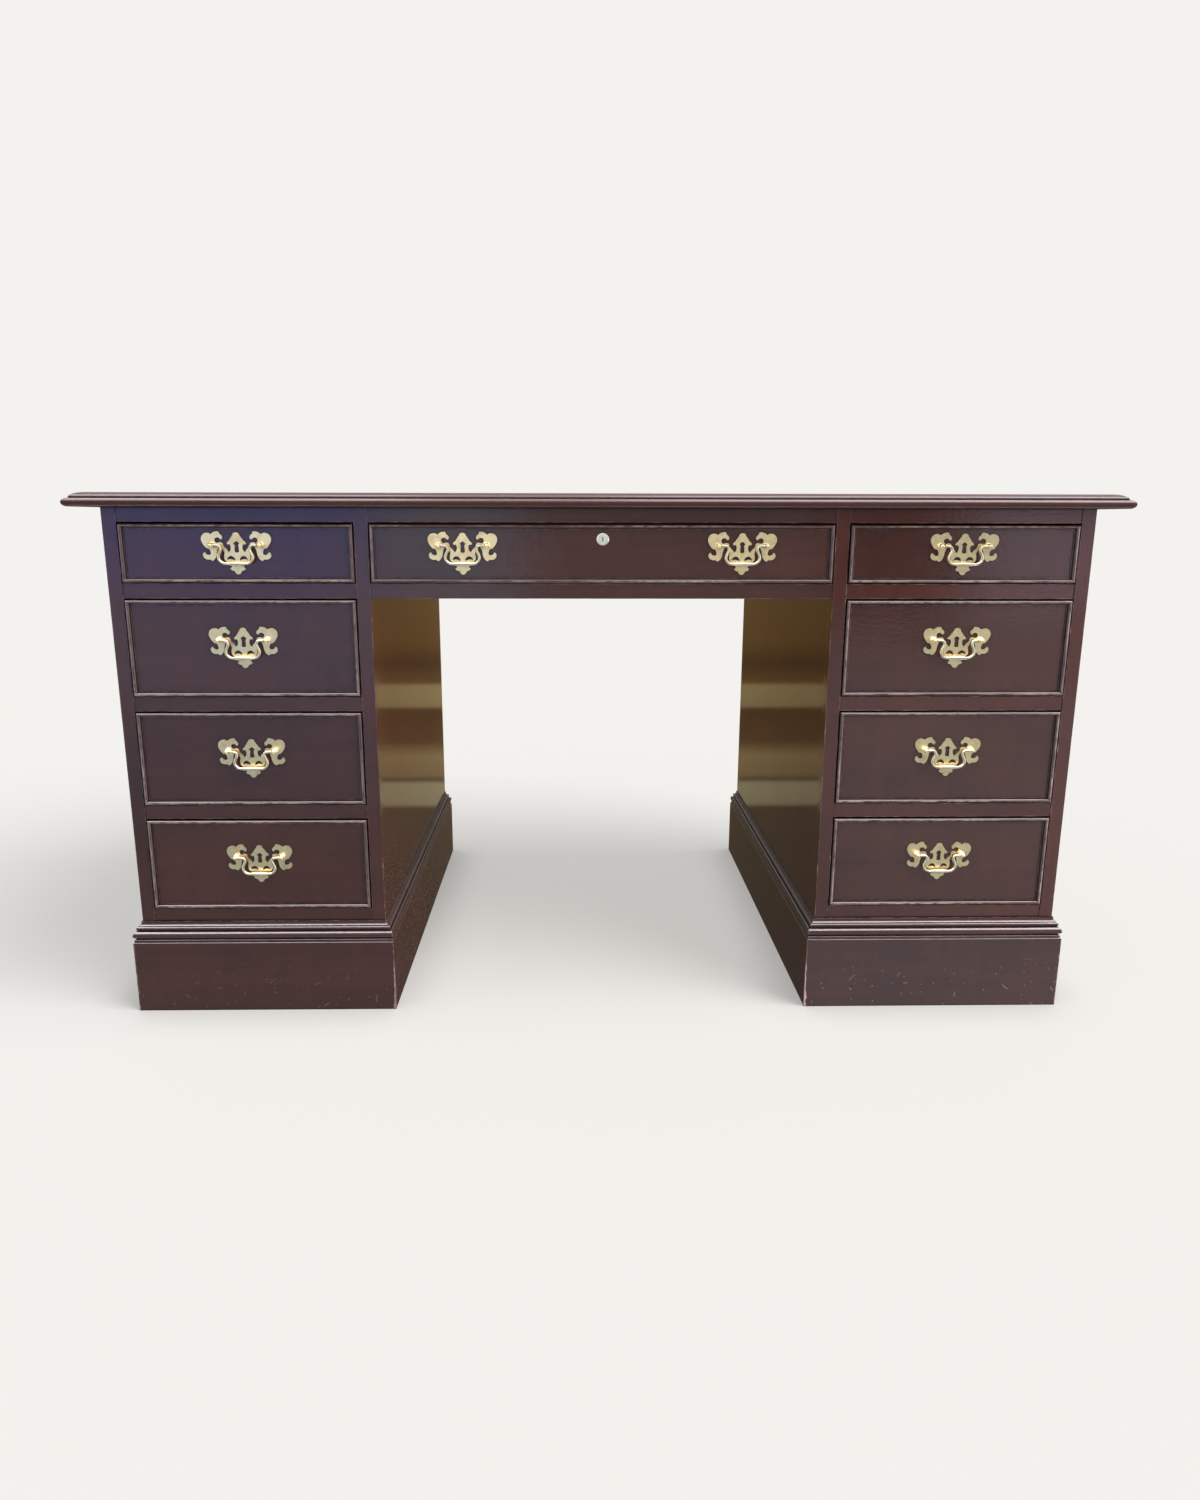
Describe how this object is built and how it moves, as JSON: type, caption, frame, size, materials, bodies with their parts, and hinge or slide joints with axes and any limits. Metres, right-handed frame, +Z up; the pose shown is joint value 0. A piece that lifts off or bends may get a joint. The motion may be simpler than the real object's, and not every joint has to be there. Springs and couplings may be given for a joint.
{
  "type": "partners desk",
  "caption": "Twin-pedestal kneehole desk with moulded drawers, swinging bail pulls, a cylinder lock, skirted plinths and rear cupboards.",
  "frame": {"origin": "on the floor under the middle of the desktop", "axes": "+X to the right of a sitter facing the drawers, +Y from the drawer side to the cupboard side, +Z up"},
  "size_m": [1.502, 0.828, 0.793],
  "materials": {
    "mahogany": "satin lacquer over dark red-brown mahogany",
    "drawer_lining": "plain sealed secondary timber",
    "leather": "hide with gilt tooled line",
    "aged_brass": "antiqued cast brass, rubbed bright on the edges",
    "nickel": "polished nickel plate",
    "steel": "plain steel"
  },
  "bodies": {
    "carcass": {"base_mouldings": "mahogany", "centre_rails": "mahogany", "desktop_edge_moulding": "mahogany", "desktop_leather": "leather", "desktop_panel": "mahogany", "drawer_runners": "drawer_lining", "inner_boards": "drawer_lining", "left_front_frame": "mahogany", "left_side_panels": "mahogany", "plinth_boards": "mahogany", "rear_frames": "mahogany", "rear_frieze_panels": "mahogany", "rear_hinge_leaves": "aged_brass", "right_front_frame": "mahogany", "right_side_panels": "mahogany", "top_screws": "steel"},
    "left_1_drawer": {"left_1_drawer_front": "mahogany", "left_1_drawer_box": "drawer_lining", "left_1_drawer_pull": "aged_brass"},
    "left_1_bail": {"left_1_bail": "aged_brass"},
    "left_2_drawer": {"left_2_drawer_front": "mahogany", "left_2_drawer_box": "drawer_lining", "left_2_drawer_pull": "aged_brass"},
    "left_2_bail": {"left_2_bail": "aged_brass"},
    "left_3_drawer": {"left_3_drawer_front": "mahogany", "left_3_drawer_box": "drawer_lining", "left_3_drawer_pull": "aged_brass"},
    "left_3_bail": {"left_3_bail": "aged_brass"},
    "left_4_drawer": {"left_4_drawer_front": "mahogany", "left_4_drawer_box": "drawer_lining", "left_4_drawer_pull": "aged_brass"},
    "left_4_bail": {"left_4_bail": "aged_brass"},
    "right_1_drawer": {"right_1_drawer_front": "mahogany", "right_1_drawer_box": "drawer_lining", "right_1_drawer_pull": "aged_brass"},
    "right_1_bail": {"right_1_bail": "aged_brass"},
    "right_2_drawer": {"right_2_drawer_front": "mahogany", "right_2_drawer_box": "drawer_lining", "right_2_drawer_pull": "aged_brass"},
    "right_2_bail": {"right_2_bail": "aged_brass"},
    "right_3_drawer": {"right_3_drawer_front": "mahogany", "right_3_drawer_box": "drawer_lining", "right_3_drawer_pull": "aged_brass"},
    "right_3_bail": {"right_3_bail": "aged_brass"},
    "right_4_drawer": {"right_4_drawer_front": "mahogany", "right_4_drawer_box": "drawer_lining", "right_4_drawer_pull": "aged_brass"},
    "right_4_bail": {"right_4_bail": "aged_brass"},
    "centre_drawer": {"centre_drawer_front": "mahogany", "centre_drawer_box": "drawer_lining", "centre_drawer_pull": "aged_brass", "lock_case": "nickel"},
    "centre_left_bail": {"centre_left_bail": "aged_brass"},
    "centre_right_bail": {"centre_right_bail": "aged_brass"},
    "lock_plug": {"lock_plug": "nickel"},
    "lock_bolt": {"lock_bolt": "steel"},
    "left_door": {"left_door": "mahogany", "left_door_fittings": "aged_brass"},
    "right_door": {"right_door": "mahogany", "right_door_fittings": "aged_brass"}
  },
  "joints": [
    {"name": "left_1_drawer_slide", "type": "slide", "parent": "carcass", "child": "left_1_drawer", "axis": [0, -1, 0], "range_m": [0, 0.33]},
    {"name": "left_1_bail_swing", "type": "hinge", "parent": "left_1_drawer", "child": "left_1_bail", "pos_m": [-0.5255, -0.3845, 0.7201], "axis": [-1, 0, 0], "range_deg": [0, 90]},
    {"name": "left_2_drawer_slide", "type": "slide", "parent": "carcass", "child": "left_2_drawer", "axis": [0, -1, 0], "range_m": [0, 0.33]},
    {"name": "left_2_bail_swing", "type": "hinge", "parent": "left_2_drawer", "child": "left_2_bail", "pos_m": [-0.5255, -0.3845, 0.58378], "axis": [-1, 0, 0], "range_deg": [0, 90]},
    {"name": "left_3_drawer_slide", "type": "slide", "parent": "carcass", "child": "left_3_drawer", "axis": [0, -1, 0], "range_m": [0, 0.33]},
    {"name": "left_3_bail_swing", "type": "hinge", "parent": "left_3_drawer", "child": "left_3_bail", "pos_m": [-0.5255, -0.3845, 0.41715], "axis": [-1, 0, 0], "range_deg": [0, 90]},
    {"name": "left_4_drawer_slide", "type": "slide", "parent": "carcass", "child": "left_4_drawer", "axis": [0, -1, 0], "range_m": [0, 0.33]},
    {"name": "left_4_bail_swing", "type": "hinge", "parent": "left_4_drawer", "child": "left_4_bail", "pos_m": [-0.5255, -0.3845, 0.25052], "axis": [-1, 0, 0], "range_deg": [0, 90]},
    {"name": "right_1_drawer_slide", "type": "slide", "parent": "carcass", "child": "right_1_drawer", "axis": [0, -1, 0], "range_m": [0, 0.33]},
    {"name": "right_1_bail_swing", "type": "hinge", "parent": "right_1_drawer", "child": "right_1_bail", "pos_m": [0.5255, -0.3845, 0.7201], "axis": [-1, 0, 0], "range_deg": [0, 90]},
    {"name": "right_2_drawer_slide", "type": "slide", "parent": "carcass", "child": "right_2_drawer", "axis": [0, -1, 0], "range_m": [0, 0.33]},
    {"name": "right_2_bail_swing", "type": "hinge", "parent": "right_2_drawer", "child": "right_2_bail", "pos_m": [0.5255, -0.3845, 0.58378], "axis": [-1, 0, 0], "range_deg": [0, 90]},
    {"name": "right_3_drawer_slide", "type": "slide", "parent": "carcass", "child": "right_3_drawer", "axis": [0, -1, 0], "range_m": [0, 0.33]},
    {"name": "right_3_bail_swing", "type": "hinge", "parent": "right_3_drawer", "child": "right_3_bail", "pos_m": [0.5255, -0.3845, 0.41715], "axis": [-1, 0, 0], "range_deg": [0, 90]},
    {"name": "right_4_drawer_slide", "type": "slide", "parent": "carcass", "child": "right_4_drawer", "axis": [0, -1, 0], "range_m": [0, 0.33]},
    {"name": "right_4_bail_swing", "type": "hinge", "parent": "right_4_drawer", "child": "right_4_bail", "pos_m": [0.5255, -0.3845, 0.25052], "axis": [-1, 0, 0], "range_deg": [0, 90]},
    {"name": "centre_drawer_slide", "type": "slide", "parent": "carcass", "child": "centre_drawer", "axis": [0, -1, 0], "range_m": [0, 0.33]},
    {"name": "centre_left_bail_swing", "type": "hinge", "parent": "centre_drawer", "child": "centre_left_bail", "pos_m": [-0.202, -0.3845, 0.7201], "axis": [-1, 0, 0], "range_deg": [0, 90]},
    {"name": "centre_right_bail_swing", "type": "hinge", "parent": "centre_drawer", "child": "centre_right_bail", "pos_m": [0.202, -0.3845, 0.7201], "axis": [-1, 0, 0], "range_deg": [0, 90]},
    {"name": "lock_turn", "type": "hinge", "parent": "centre_drawer", "child": "lock_plug", "pos_m": [0, -0.3755, 0.7292], "axis": [0, 1, 0], "range_deg": [0, 90]},
    {"name": "lock_bolt_throw", "type": "slide", "parent": "centre_drawer", "child": "lock_bolt", "axis": [0, 0, 1], "range_m": [0, 0.007]},
    {"name": "left_door_hinge", "type": "hinge", "parent": "carcass", "child": "left_door", "pos_m": [-0.6928, 0.3805, 0.40475], "axis": [0, 0, 1], "range_deg": [0, 100]},
    {"name": "right_door_hinge", "type": "hinge", "parent": "carcass", "child": "right_door", "pos_m": [0.6928, 0.3805, 0.40475], "axis": [0, 0, -1], "range_deg": [0, 100]}
  ],
  "couplings": [
    {"joint": "lock_bolt_throw", "follows": "lock_turn", "m_per_rad": 0.0044563}
  ]
}
